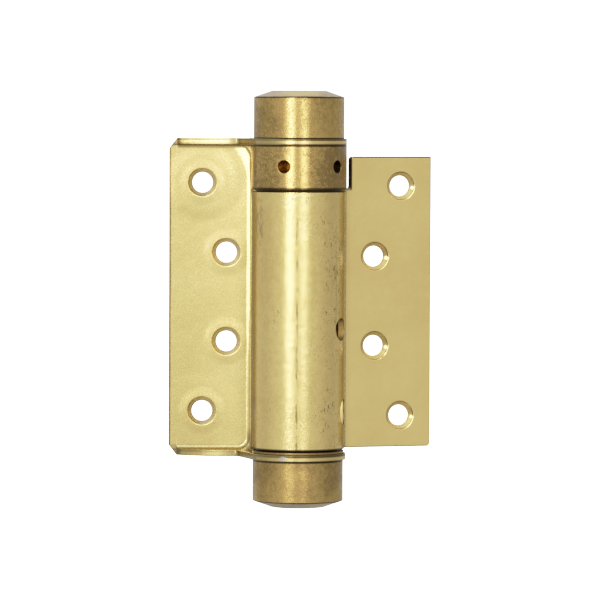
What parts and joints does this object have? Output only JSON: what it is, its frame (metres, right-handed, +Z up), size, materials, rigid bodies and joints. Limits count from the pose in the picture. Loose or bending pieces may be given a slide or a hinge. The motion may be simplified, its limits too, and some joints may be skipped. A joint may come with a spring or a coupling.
{
  "type": "spring hinge",
  "caption": "Single-action spring hinge with a pressed tray leaf, a leaf rolled into the spring barrel, a tension collar with tommy holes and turned end caps.",
  "frame": {"origin": "on the back face of the frame leaf, in the middle of its four screw holes", "axes": "+X from the frame leaf towards the pin and across the barrel, +Y out of the frame leaf's back into the frame that it is screwed to, +Z up along the pin"},
  "size_m": [0.0617, 0.0237, 0.0974],
  "materials": {
    "plated_sheet": "bright brass plate on pressed sheet steel, fine pitting",
    "turned_brass": "turned and brass plated, dull and tarnished",
    "steel": "plain turned steel",
    "spring_wire": "drawn spring wire with a bronze sheen"
  },
  "bodies": {
    "frame": {"frame_leaf": "plated_sheet", "spindle": "steel", "top_cap": "turned_brass", "bottom_cap": "turned_brass", "thrust_washer": "plated_sheet"},
    "leaf": {"swing_leaf": "plated_sheet", "barrel_plug": "steel", "plug_pin": "plated_sheet", "torsion_spring": "spring_wire"},
    "collar": {"tension_collar": "turned_brass"}
  },
  "joints": [
    {"name": "leaf_swing", "type": "hinge", "parent": "frame", "child": "leaf", "pos_m": [0.0199, -0.0125, 0], "axis": [0, 0, 1], "range_deg": [-198, 105], "stiffness_Nm_per_rad": 0.59, "deforming": ["torsion_spring"]},
    {"name": "collar_turn", "type": "hinge", "parent": "frame", "child": "collar", "pos_m": [0.0199, -0.0125, 0], "axis": [0, 0, 1], "range_deg": [-360, 0], "stiffness_Nm_per_rad": 0.59, "deforming": ["torsion_spring"]}
  ]
}
